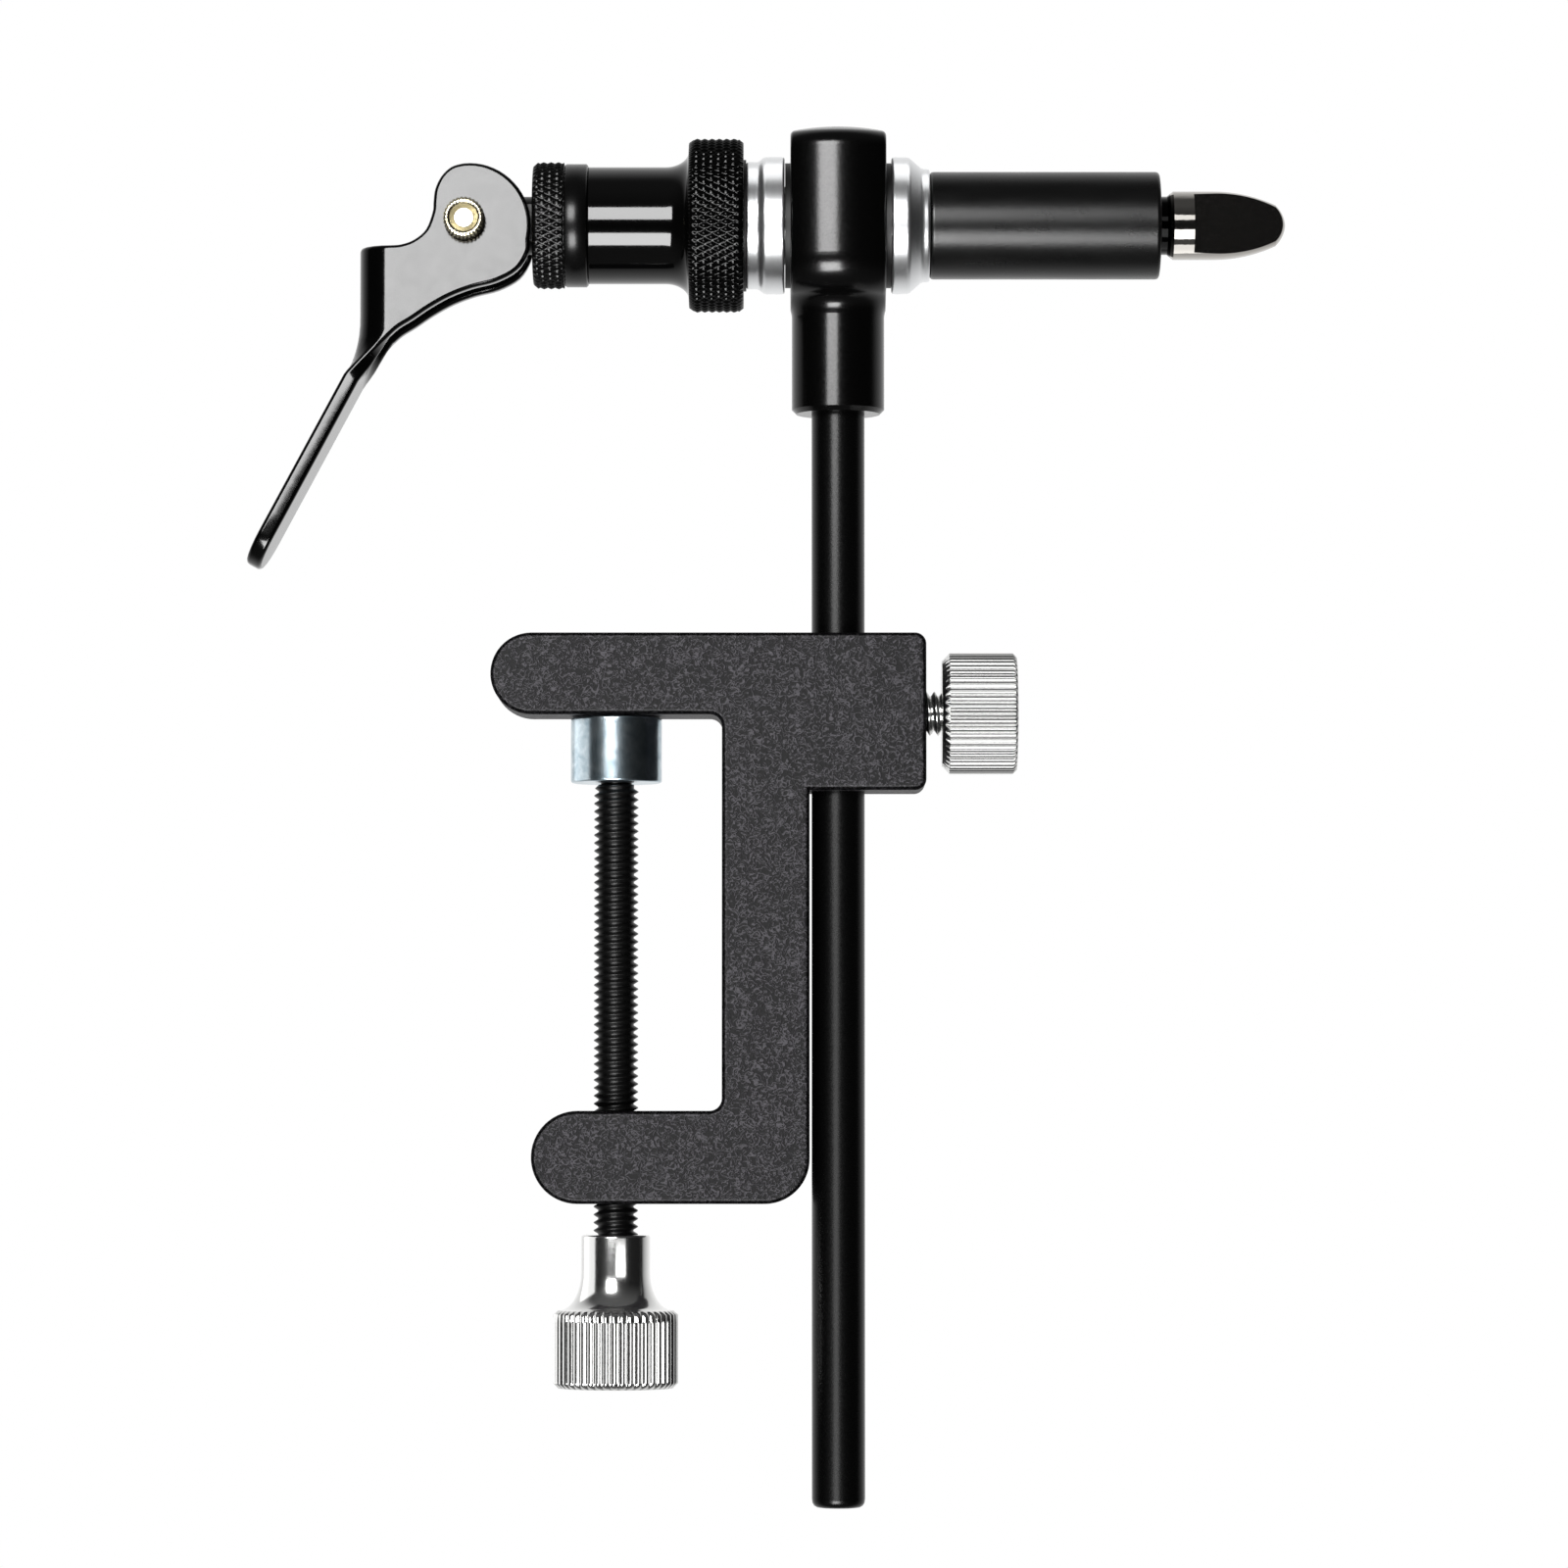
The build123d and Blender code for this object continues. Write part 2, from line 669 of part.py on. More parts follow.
def make_cam_lever():
    """Folded sheet: two cam cheeks, a web on the left and a flat handle."""
    step = (cam_last_angle - cam_first_angle) / (cam_points - 1)
    cam = [cam_point(cam_first_angle + step * index) for index in range(cam_points)]
    lean = math.tan(math.radians(handle_angle))
    slant = sheet / math.cos(math.radians(handle_angle))
    web_x = pin_x - cheek_reach
    back_x = pin_x - cheek_back
    bend_z = spindle_height - cheek_drop
    tip_z = bend_z - handle_length * math.cos(math.radians(handle_angle))
    tip_x = web_x - handle_length * math.sin(math.radians(handle_angle))
    cap_x = tip_x + sheet * math.cos(math.radians(handle_angle))
    cap_z = tip_z - sheet * math.sin(math.radians(handle_angle))
    back_high = (back_x, 0, cam[-1][2])
    back_low = (back_x, 0, spindle_height - cheek_drop * notch_inner_share)
    web_high = (web_x, 0, spindle_height - cheek_drop * notch_outer_share)
    web_low = (web_x, 0, bend_z)
    join_z = bend_z - handle_length * handle_join_share
    join = (web_x + slant - (bend_z - join_z) * lean, 0, join_z)
    belly = [(pin_x + dx * cheek_reach, 0, spindle_height + dz * cheek_drop) for dx, dz in belly_shares]
    edges = [Spline(*cam)]
    back = [cam[-1], back_high, back_low, web_high, web_low]
    edges += Polyline(*back, (tip_x, 0, tip_z), (cap_x, 0, cap_z), join).edges()
    first = math.radians(cam_first_angle)
    tangents = [(math.sin(first), 0, -math.cos(first)), (-lean, 0, -1)]
    edges += [Spline(cam[0], *belly, join, tangents=tangents)]
    face = make_face(edges)
    face = rounded(face, [back_high], cheek_back_round)
    face = rounded(face, [back_low], cheek_notch_round)
    body = extrude(face, amount=lever_width / 2, both=True)
    fold = [edge for edge in body.edges().filter_by(Axis.Z) if abs(edge.center().X - web_x) < face_gap]
    body = fillet(fold, bend_round)
    tip = body.faces().sort_by(Axis.Z)[0].edges().sort_by(Axis.Y)
    body = fillet([tip[0], tip[-1]], handle_tip_round)
    inner_x = web_x + sheet
    meet_z = bend_z - (slant - sheet) / lean
    low_z = cap_z - overrun
    low_x = web_x + slant - (bend_z - low_z) * lean
    right_x = pin_x + cam_reach + overrun
    high_z = cam[-1][2] + overrun
    channel = Polyline(
        (inner_x, 0, high_z),
        (right_x, 0, high_z),
        (right_x, 0, low_z),
        (low_x, 0, low_z),
        (inner_x, 0, meet_z),
        close=True,
    )
    pocket = extrude(make_face(channel), amount=(lever_width - 2 * sheet) / 2, both=True)
    inner = [edge for edge in pocket.edges().filter_by(Axis.Z) if abs(edge.center().X - inner_x) < face_gap]
    body -= fillet(inner, bend_round - sheet)
    return body - drill_across(pin_x, spindle_height, -lever_width, lever_width, pin_dia + 2 * fit_gap)


def make_pivot_screw():
    """The lever's pin, with a low head on the far cheek."""
    back = lever_width / 2
    front = -back - pivot_nut_height + pivot_nut_recess - pin_end
    pin = drill_across(pin_x, spindle_height, front, back, pin_dia)
    head = drill_across(pin_x, spindle_height, back, back + pin_head, pin_head_dia)
    rim = head.edges().sort_by(Axis.Y)[-1]
    return pin + fillet(rim, pin_head / 2)


def make_pivot_nut():
    """Round nut on the front cheek, dished round the end of the pin."""
    back = -lever_width / 2
    front = back - pivot_nut_height
    nut = drill_across(pin_x, spindle_height, front, back, pivot_nut_dia)
    nut = chamfer(nut.edges().filter_by(GeomType.CIRCLE), pivot_nut_edge)
    nut -= drill_across(pin_x, spindle_height, front, front + pivot_nut_recess, pivot_nut_recess_dia)
    return nut - drill_across(pin_x, spindle_height, front - overrun, back + overrun, pin_dia + 2 * fit_gap)


pieces = {
    "clamp_frame": make_clamp_frame(),
    "clamp_pad": make_clamp_pad(),
    "clamp_screw": make_clamp_screw(),
    "clamp_knob": make_clamp_knob(),
    "lock_stud": make_lock_stud(),
    "lock_knob": make_lock_knob(),
    "stem": make_stem(),
    "head_housing": make_head_housing(),
    "bearing_bush_left": make_bush(head_left),
    "bearing_bush_right": make_bush(head_right - bush_length),
    "thrust_washer_left": make_thrust_washer(head_left - thrust_thick),
    "thrust_washer_right": make_thrust_washer(head_right),
    "spindle_tube": make_spindle_tube(),
    "nose_collar": make_nose_collar(),
    "collet_sleeve": make_collet_sleeve(),
    "drag_collar": make_drag_collar(),
    "drag_washer": tube(ring_right, drag_left, drag_washer_dia, spindle_dia + 2 * fit_gap),
    "rotary_barrel": make_rotary_barrel(),
    "return_spring": make_return_spring(),
    "adjusting_nut": make_adjusting_nut(),
    "drawbar": make_drawbar(),
    "collet_shank": make_collet_shank(),
    "front_jaw": make_jaw(-1),
    "back_jaw": make_jaw(1),
    "cam_lever": make_cam_lever(),
    "pivot_screw": make_pivot_screw(),
    "pivot_nut": make_pivot_nut(),
}

os.makedirs("parts", exist_ok=True)
for name, piece in pieces.items():
    export_step(piece, os.path.join("parts", name + ".step"))
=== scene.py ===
import json
import math
import bmesh
import bpy
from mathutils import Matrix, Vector


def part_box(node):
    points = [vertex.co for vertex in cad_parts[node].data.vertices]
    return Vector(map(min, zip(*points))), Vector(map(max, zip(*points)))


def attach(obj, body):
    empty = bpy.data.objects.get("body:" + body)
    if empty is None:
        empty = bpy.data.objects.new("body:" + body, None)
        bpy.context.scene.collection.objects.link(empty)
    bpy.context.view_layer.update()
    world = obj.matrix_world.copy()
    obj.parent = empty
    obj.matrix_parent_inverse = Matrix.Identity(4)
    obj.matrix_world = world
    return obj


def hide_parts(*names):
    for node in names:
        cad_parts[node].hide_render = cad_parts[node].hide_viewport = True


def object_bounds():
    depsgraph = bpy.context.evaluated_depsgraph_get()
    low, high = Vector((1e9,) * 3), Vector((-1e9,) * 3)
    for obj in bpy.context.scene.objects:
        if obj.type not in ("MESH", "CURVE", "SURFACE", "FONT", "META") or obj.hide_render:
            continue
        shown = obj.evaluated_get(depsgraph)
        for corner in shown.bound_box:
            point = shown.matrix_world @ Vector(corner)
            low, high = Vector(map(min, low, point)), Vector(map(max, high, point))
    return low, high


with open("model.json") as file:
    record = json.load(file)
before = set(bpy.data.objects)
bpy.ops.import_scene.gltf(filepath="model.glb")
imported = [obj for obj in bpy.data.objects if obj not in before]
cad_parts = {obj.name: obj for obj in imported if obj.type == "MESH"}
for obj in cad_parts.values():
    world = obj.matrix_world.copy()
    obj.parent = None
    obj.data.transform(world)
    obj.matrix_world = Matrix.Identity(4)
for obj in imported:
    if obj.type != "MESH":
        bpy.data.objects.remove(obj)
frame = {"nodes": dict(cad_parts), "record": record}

# Looks of a fly tying vise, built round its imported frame.
# Meshes are worked out in millimetres and written in metres, +Z up, the viewer looks along +Y.

cad_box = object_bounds()
metres = 0.001


def place(node):
    """Lowest and highest corner of a node of the frame, in millimetres."""
    return [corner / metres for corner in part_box(node)]


def middle(node):
    low, high = place(node)
    return (low + high) / 2


def radius_of(node):
    """Half the depth of a turned node."""
    low, high = place(node)
    return (high.y - low.y) / 2


# Axes of the turned pieces
spindle_z = middle("collet_sleeve").z
stem_x = middle("stem").x
lock_z = middle("lock_knob").z
screw_x = middle("clamp_screw").x
pin_x = middle("pivot_nut").x
pin_z = middle("pivot_nut").z

# Surface detail
smooth_count = 128
edge_steps = 4
knurl_length = 2.63
knurl_width = 1.4
knurl_depth = 0.58
knurl_flat = 0.95
knurl_samples = 8
thread_pitch = 1.411
thread_depth = 0.78
thread_count = 48
flute_depth = 0.52
flute_samples = 10
knob_flutes = 46
lock_flutes = 48

# Steps of the turned pieces that a box doesn't give
stem_end_round = 1.6

pad_roof = 3.0
pad_lip = 2.6
pad_hole = 3.1
pad_cavity = 4.0
pad_edge = 0.5
pad_axis_gap = 0.05

foot_neck = 2.8
foot_radius = 3.7
foot_gap = 0.3
foot_edge = 0.3

knob_neck_radius = 6.15
knob_neck_height = 6.6
knob_neck_edge = 0.5
knob_flare_height = 6.8
knob_flare_steps = 14
knob_edge = 0.9
knob_edge_share = 0.8
knob_ring_inset = 1.2
knob_ring_step = 1.0

lock_bevel = 1.4
lock_edge = 0.7
lock_gap = 0.16

ring_width = 9.8
ring_chamfer = 0.8
flare_radius = 13.5
flare_length = 4.2
flare_steps = 12
barrel_radius = 10.5
barrel_bore = 7.0
barrel_rim = 0.3

nut_grip = 5.7
nut_shoulder = 4.1
nut_shoulder_radius = 11.05
nut_groove = 0.2
nut_spigot_radius = 7.9
nut_bore = 5.4
nut_chamfer = 0.8
nut_edge = 0.3

nose_flange = 3.1
nose_cone = 2.35
nose_wall = 0.5
drag_land = 3.65
drag_cove = 1.05
drag_step_radius = 11.4
collar_bore = 7.05
collar_edge = 0.5

sleeve_bore = 5.45
sleeve_mouth = 7.45
sleeve_throat = 4.8
sleeve_seat = 7.4
sleeve_edge = 0.8
jaw_length = 20.8

pivot_recess = 1.2
pivot_recess_radius = 2.55
pivot_pin_radius = 1.66
pivot_edge = 0.4
pivot_teeth = 30
pivot_depth = 0.24

# Lever, measured from its pin: a sheet folded to two cam cheeks, a web and a flat handle
sheet = 2.9
fold_radius = 5.8
fold_steps = 5
fold_end = 15.6
fold_spacing = 1.7
flange_fade = 8.0
fade_power = 1.5
fade_spacing = 1.0
cam_reach = 11.8
cam_rise = 0.89
cam_first_angle = -12
cam_last_angle = 96
cam_step_angle = 6
web_reach = 19.0
web_top = -4.4
bend_top = -17.0
bend_corner = -22.8
handle_angle = 28.2
handle_length = 43.1
handle_spacing = 4.0
tip_round = 6.0
tip_steps = 5
lever_edge = 0.7
lever_edge_segments = 3
lever_edge_angle = 40.0
path_steps = 4
belly_outline = (
    (-11.75, -19.25), (-9.25, -17.7), (-6.15, -15.6), (-2.55, -13.6),
    (1.4, -12.1), (5.6, -11.0), (9.4, -8.9), (11.4, -5.7),
)
head_outline = (
    (-2.4, 9.7), (-4.2, 8.0), (-5.3, 5.7), (-5.6, 3.4),
    (-5.75, 1.6), (-6.9, -1.5), (-8.9, -3.3), (-11.0, -4.15),
)


def along_x(station, radius, angle):
    """Point round the spindle."""
    return (station, radius * math.cos(angle), spindle_z + radius * math.sin(angle))


def along_lock(station, radius, angle):
    """Point round the lock screw."""
    return (station, radius * math.cos(angle), lock_z + radius * math.sin(angle))


def along_screw(station, radius, angle):
    """Point round the clamp screw."""
    return (screw_x + radius * math.cos(angle), radius * math.sin(angle), station)


def along_stem(station, radius, angle):
    """Point round the stem."""
    return (stem_x + radius * math.cos(angle), radius * math.sin(angle), station)


def along_pin(station, radius, angle):
    """Point round the lever's pin."""
    return (pin_x + radius * math.sin(angle), station, pin_z + radius * math.cos(angle))


def finished(name, mesh_data, body, slot, *nodes, look=None):
    """A piece from a bmesh, smooth, on its body, in place of CAD nodes."""
    merge = 0.002
    bmesh.ops.remove_doubles(mesh_data, verts=mesh_data.verts, dist=merge)
    bmesh.ops.recalc_face_normals(mesh_data, faces=mesh_data.faces)
    bmesh.ops.scale(mesh_data, vec=Vector((metres, metres, metres)), verts=mesh_data.verts)
    mesh = bpy.data.meshes.new(name)
    mesh_data.to_mesh(mesh)
    mesh_data.free()
    mesh.polygons.foreach_set("use_smooth", [True] * len(mesh.polygons))
    piece = bpy.data.objects.new(name, mesh)
    bpy.context.scene.collection.objects.link(piece)
    piece.data.materials.append(materials[look or slot])
    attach(piece, body)
    if nodes:
        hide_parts(*nodes)
    return piece


def even_normals(piece):
    """Keeps flat stretches flat beside their rounded edges."""
    normals = piece.modifiers.new("even_normals", "WEIGHTED_NORMAL")
    normals.keep_sharp = True
    return piece


def rounded(points, radius, closed=False):
    """An outline with each corner rounded by a short curve that takes less than half of a side."""
    most = 0.45
    count = len(points)
    out = []
    for index, point in enumerate(points):
        inner = closed or 0 < index < count - 1
        if not inner:
            out.append(point)
            continue
        here = Vector(point)
        before = Vector(points[index - 1]) - here
        after = Vector(points[(index + 1) % count]) - here
        cut = min(radius, before.length * most, after.length * most)
        start = here + before.normalized() * cut
        end = here + after.normalized() * cut
        for step in range(edge_steps + 1):
            share = step / edge_steps
            pull = start.lerp(here, share).lerp(here.lerp(end, share), share)
            out.append((pull.x, pull.y))
    return out


def turned(outline, axis, closed=False, count=smooth_count, texture=None):
    """A bmesh turned from stations and radii round an axis, with a texture that may cut into it."""
    mesh_data = bmesh.new()
    rings = []
    for station, radius in outline:
        ring = []
        for index in range(count):
            share = index / count
            reach = radius
            if texture:
                reach = min(radius, texture(station, share))
            ring.append(mesh_data.verts.new(axis(station, reach, math.tau * share)))
        rings.append(ring)
    pairs = list(zip(rings, rings[1:]))
    if closed:
        pairs.append((rings[-1], rings[0]))
    for ring, following in pairs:
        for index in range(count):
            after = (index + 1) % count
            mesh_data.faces.new((ring[index], ring[after], following[after], following[index]))
    if not closed:
        mesh_data.faces.new(rings[0])
        mesh_data.faces.new(rings[-1])
    return mesh_data


def fine(start, end, step):
    """Evenly spaced stations from start to end."""
    count = max(1, round((end - start) / step))
    return [start + (end - start) * index / count for index in range(count + 1)]


def flared(start, length, radius, rise, steps):
    """Stations and radii of a quarter curve from a cylinder outwards."""
    curve = []
    for step in range(1, steps + 1):
        turn = math.pi / 2 * step / steps
        station = start + length * math.sin(turn)
        curve.append((station, radius + rise * (1 - math.cos(turn))))
    return curve


def tent(value):
    """0 at whole numbers and 1 half way between them."""
    return 1 - abs(2 * (value % 1) - 1)


def knurl(radius, count, start, end):
    """Texture of crossed grooves between two stations, diamonds longer along the axis than round it."""
    slack = 0.001

    def reach(station, share):
        if not start - slack < station < end + slack:
            return radius
        along = station / knurl_length
        around = share * count
        ridge = min(tent(along + around), tent(along - around))
        return radius - knurl_depth * (1 - min(1, ridge / knurl_flat))
    return reach


def knurled(start, end, radius):
    """Stations and radii of a cylinder, as close together as the knurl needs them."""
    return [(station, radius) for station in fine(start, end, knurl_length / knurl_samples)]


def flutes(radius, count, depth, start=-math.inf):
    """Texture of straight rounded ridges, from a station on."""
    def reach(station, share):
        if station < start:
            return radius
        across = 2 * ((share * count) % 1) - 1
        return radius - depth * across ** 2
    return reach


def threaded(low, high, radius, axis):
    """A bmesh of a right-handed V thread with chamfered ends.

    The form of one thread is a row of shares of the pitch and radii.
    """
    core = radius - thread_depth
    form = ((0.0, core), (0.10, core), (0.44, radius), (0.56, radius), (0.90, core))
    turns = math.ceil((high - low) / thread_pitch) + 1
    mesh_data = bmesh.new()
    columns = []
    for column in range(thread_count):
        share = column / thread_count
        verts = []
        for turn in range(-1, turns):
            for offset, reach in form:
                station = low + thread_pitch * (turn + offset + share)
                station = min(max(station, low), high)
                reach = min(reach, core + (station - low), core + (high - station))
                verts.append(mesh_data.verts.new(axis(station, reach, math.tau * share)))
        columns.append(verts)
    rows = len(columns[0])
    for column in range(thread_count):
        shift = len(form) if column == thread_count - 1 else 0
        here, beside = columns[column], columns[(column + 1) % thread_count]
        for row in range(rows - 1 - shift):
            quad = (here[row], beside[row + shift], beside[row + 1 + shift], here[row + 1])
            mesh_data.faces.new(quad)
    return mesh_data


# Materials
def grey(value):
    return (value, value, value)


def set_stops(node, stops):
    """Gives a colour ramp its stops, each a position and a colour."""
    elements = node.color_ramp.elements
    for position, color in stops[1:-1]:
        elements.new(position)
    for element, (position, color) in zip(elements, stops):
        element.position = position
        element.color = (*color, 1.0)


class Shader:
    """A node material with one Principled shader and helpers that wire it."""

    def __init__(self, name, color, roughness, metallic=0.0, **sockets):
        self.material = bpy.data.materials.new(name)
        self.material.use_nodes = True
        self.nodes = self.material.node_tree.nodes
        self.links = self.material.node_tree.links
        self.shader = self.nodes["Principled BSDF"]
        self.set("Base Color", (*color, 1.0))
        self.set("Roughness", roughness)
        self.set("Metallic", metallic)
        for socket, value in sockets.items():
            self.set(socket.replace("_", " "), value)

    def set(self, socket, value):
        self.shader.inputs[socket].default_value = value

    def to(self, socket, value):
        self.links.new(value, self.shader.inputs[socket])

    def add(self, kind, **settings):
        node = self.nodes.new(kind)
        for key, value in settings.items():
            setattr(node, key, value)
        return node

    def coordinates(self, stretch=(1.0, 1.0, 1.0)):
        """Millimetres in the piece's own frame."""
        source = self.add("ShaderNodeTexCoord")
        mapping = self.add("ShaderNodeMapping")
        mapping.inputs["Scale"].default_value = [part / metres for part in stretch]
        self.links.new(source.outputs["Object"], mapping.inputs["Vector"])
        return mapping.outputs["Vector"]

    def across_plate(self):
        """1 on the front and back of a plate, 0 on its sides, between them on the rounded edges."""
        source = self.add("ShaderNodeTexCoord")
        parts = self.add("ShaderNodeSeparateXYZ")
        size = self.add("ShaderNodeMath", operation="ABSOLUTE")
        self.links.new(source.outputs["Normal"], parts.inputs[0])
        self.links.new(parts.outputs["Y"], size.inputs[0])
        return size.outputs[0]

    def along_spindle(self):
        """Millimetres along X."""
        parts = self.add("ShaderNodeSeparateXYZ")
        self.links.new(self.coordinates(), parts.inputs[0])
        return parts.outputs["X"]

    def ramp(self, value, stops):
        """Colours that go through stops, each a value and its colour."""
        node = self.add("ShaderNodeValToRGB")
        set_stops(node, stops)
        self.links.new(value, node.inputs["Fac"])
        return node.outputs["Color"]

    def steps(self, value, stops):
        """Greys that go through stops, each a value and its grey."""
        return self.ramp(value, [(position, grey(shade)) for position, shade in stops])

    def shades(self, value, low, high):
        """Colours from low to high over the middle of a value's range."""
        start, end = 0.3, 0.7
        return self.ramp(value, ((start, low), (end, high)))

    def veins(self, value, ground, line, width):
        """Thin lines on a ground, where a value is half way."""
        half = 0.5
        return self.ramp(value, ((half - width, ground), (half, line), (half + width, ground)))

    def times(self, first, second):
        """Two colours multiplied."""
        node = self.add("ShaderNodeVectorMath", operation="MULTIPLY")
        self.links.new(first, node.inputs[0])
        self.links.new(second, node.inputs[1])
        return node.outputs["Vector"]

    def from_spindle(self):
        """Distance from the spindle's axis in millimetres."""
        source = self.add("ShaderNodeTexCoord")
        mapping = self.add("ShaderNodeMapping")
        mapping.inputs["Scale"].default_value = (0.0, 1 / metres, 1 / metres)
        mapping.inputs["Location"].default_value = (0.0, 0.0, -spindle_z)
        length = self.add("ShaderNodeVectorMath", operation="LENGTH")
        self.links.new(source.outputs["Object"], mapping.inputs["Vector"])
        self.links.new(mapping.outputs["Vector"], length.inputs[0])
        return length.outputs["Value"]

    def noise(self, size, detail, distortion=0.0, stretch=(1.0, 1.0, 1.0)):
        """Noise whose patches are about size millimetres."""
        node = self.add("ShaderNodeTexNoise")
        node.inputs["Scale"].default_value = 1 / size
        node.inputs["Detail"].default_value = detail
        node.inputs["Distortion"].default_value = distortion
        self.links.new(self.coordinates(stretch), node.inputs["Vector"])
        return node.outputs[0]

    def spread(self, value, low, high, start=0.0, end=1.0):
        """A value from one range carried to another."""
        node = self.add("ShaderNodeMapRange")
        node.inputs["From Min"].default_value = start
        node.inputs["From Max"].default_value = end
        node.inputs["To Min"].default_value = low
        node.inputs["To Max"].default_value = high
        self.links.new(value, node.inputs["Value"])
        return node.outputs["Result"]

    def bump(self, value, depth, strength, below=None):
        """Relief of a depth in millimetres."""
        node = self.add("ShaderNodeBump")
        node.inputs["Strength"].default_value = strength
        node.inputs["Distance"].default_value = depth * metres
        self.links.new(value, node.inputs["Height"])
        if below:
            self.links.new(below, node.inputs["Normal"])
        return node.outputs["Normal"]


def frame_coat():
    """Wrinkle coat, dark grey with fine short lines. Its rounded edges are darkened with painted shade,
    and gleam.
    """
    look = Shader("frame_coat", grey(0.004), roughness=0.48, Specular_IOR_Level=0.2)
    worms = look.noise(1.2, detail=1.0, distortion=1.6)
    patches = look.noise(5.0, detail=2.0)
    plate = look.across_plate()
    lines = look.veins(worms, (0.004, 0.0038, 0.0044), (0.056, 0.053, 0.06), 0.06)
    # Painted shade: the rounded edges between the faces and the sides are darkened to a fifth of the
    # coat's colour.
    rim = look.steps(plate, ((0.0, 1.0), (0.1, 0.2), (0.86, 0.2), (0.96, 1.0)))
    shine = look.steps(plate, ((0.0, 0.45), (0.1, 0.05), (0.86, 0.05), (0.95, 1.0), (0.998, 0.45)))
    look.to("Base Color", look.times(lines, rim))
    look.to("Roughness", look.spread(patches, 0.44, 0.54))
    look.to("Specular IOR Level", look.spread(shine, 0.01, 0.37))
    ridges = look.veins(worms, grey(0.0), grey(1.0), 0.14)
    look.to("Normal", look.bump(ridges, depth=0.06, strength=0.6))
    return look.material


def black_rod():
    """Semi-gloss black finish of the stem, finely grained."""
    look = Shader("black_rod", grey(0.0006), roughness=0.26, Specular_IOR_Level=0.32)
    grain = look.noise(0.3, detail=2.0, stretch=(1.0, 1.0, 0.5))
    look.to("Roughness", look.spread(grain, 0.2, 0.32))
    look.to("Normal", look.bump(grain, depth=0.012, strength=0.6))
    return look.material


def black_gloss():
    """Gloss black of the head, finely grained."""
    look = Shader("black_gloss", grey(0.0005), roughness=0.18, Specular_IOR_Level=0.45)
    grain = look.noise(0.35, detail=2.0)
    look.to("Roughness", look.spread(grain, 0.12, 0.26))
    look.to("Normal", look.bump(grain, depth=0.012, strength=0.6))
    return look.material


def lever_gloss():
    """Gloss black of the lever, faintly uneven."""
    look = Shader("lever_gloss", grey(0.0005), roughness=0.14)
    waves = look.noise(3.0, detail=3.0, distortion=0.8)
    look.to("Roughness", look.spread(waves, 0.08, 0.16))
    look.to("Normal", look.bump(waves, depth=0.012, strength=0.5))
    return look.material


def black_anodised():
    """Gloss black anodised aluminium, duller on the knurl."""
    blend = 0.4
    look = Shader("black_anodised", grey(0.0006), roughness=0.08)
    lines = look.noise(0.3, detail=2.0, stretch=(1.0, 0.05, 0.05))
    look.to("Roughness", look.spread(lines, 0.06, 0.1))
    distance = look.from_spindle()
    shine = look.spread(distance, 0.5, 0.22, flare_radius, flare_radius + blend)
    look.to("Specular IOR Level", shine)
    return look.material


def nut_black():
    """Satin black of the adjusting nut."""
    look = Shader("nut_black", grey(0.0006), roughness=0.24, Specular_IOR_Level=0.36)
    grain = look.noise(0.4, detail=3.0)
    look.to("Roughness", look.spread(grain, 0.2, 0.3))
    return look.material


def black_satin():
    """Satin black of the sleeve, finely grained and a little streaky."""
    look = Shader("black_satin", grey(0.0008), roughness=0.32)
    grain = look.noise(0.4, detail=3.0, stretch=(0.5, 1.0, 1.0))
    patches = look.noise(2.5, detail=3.0, stretch=(0.3, 1.0, 1.0))
    look.to("Roughness", look.spread(patches, 0.22, 0.36))
    look.to("Normal", look.bump(grain, depth=0.016, strength=0.6))
    return look.material


def black_washer():
    """Dull black of the washers."""
    look = Shader("black_washer", grey(0.002), roughness=0.5)
    grain = look.noise(0.2, detail=3.0)
    look.to("Normal", look.bump(grain, depth=0.01, strength=0.5))
    return look.material


def bright_aluminium():
    """Polished aluminium with faint turned rings."""
    look = Shader("bright_aluminium", (0.84, 0.85, 0.86), roughness=0.3, metallic=1.0)
    lines = look.noise(0.2, detail=2.0, stretch=(1.0, 0.02, 0.02))
    look.to("Roughness", look.spread(lines, 0.27, 0.34))
    return look.material


def jaw_steel():
    """Polished steel, a little uneven, with painted shade that turns the groove beside the sleeve black.
    """
    steel = (0.5, 0.48, 0.45)
    blur = 0.05
    groove_end = place("front_jaw")[1].x - jaw_length
    look = Shader("jaw_steel", steel, roughness=0.07, metallic=1.0)
    lines = look.noise(0.3, detail=2.0, stretch=(0.2, 1.0, 1.0))
    dents = look.noise(1.6, detail=1.0, distortion=0.8)
    station = look.along_spindle()
    # Painted shade: the steel goes black in the groove beside the sleeve, where the sleeve shades it.
    outside = look.spread(station, 0.0, 1.0, groove_end - blur, groove_end + blur)
    look.to("Base Color", look.shades(outside, grey(0.01), steel))
    look.to("Roughness", look.spread(lines, 0.05, 0.1))
    relief = look.bump(dents, depth=0.03, strength=0.5)
    look.to("Normal", look.bump(lines, depth=0.002, strength=0.3, below=relief))
    return look.material


def inner_steel():
    """Turned steel of the inner pieces and the pin."""
    look = Shader("inner_steel", (0.66, 0.66, 0.66), roughness=0.3, metallic=1.0)
    grain = look.noise(0.3, detail=2.0)
    look.to("Roughness", look.spread(grain, 0.22, 0.38))
    return look.material


def bronze():
    """Bearing bronze."""
    look = Shader("bronze", (0.6, 0.38, 0.16), roughness=0.35, metallic=1.0)
    grain = look.noise(0.2, detail=3.0)
    look.to("Roughness", look.spread(grain, 0.3, 0.45))
    return look.material


def pivot_brass():
    """Pale polished brass of the lever's nut."""
    look = Shader("pivot_brass", (0.86, 0.79, 0.58), roughness=0.2, metallic=1.0)
    grain = look.noise(0.4, detail=2.0)
    look.to("Roughness", look.spread(grain, 0.16, 0.28))
    return look.material


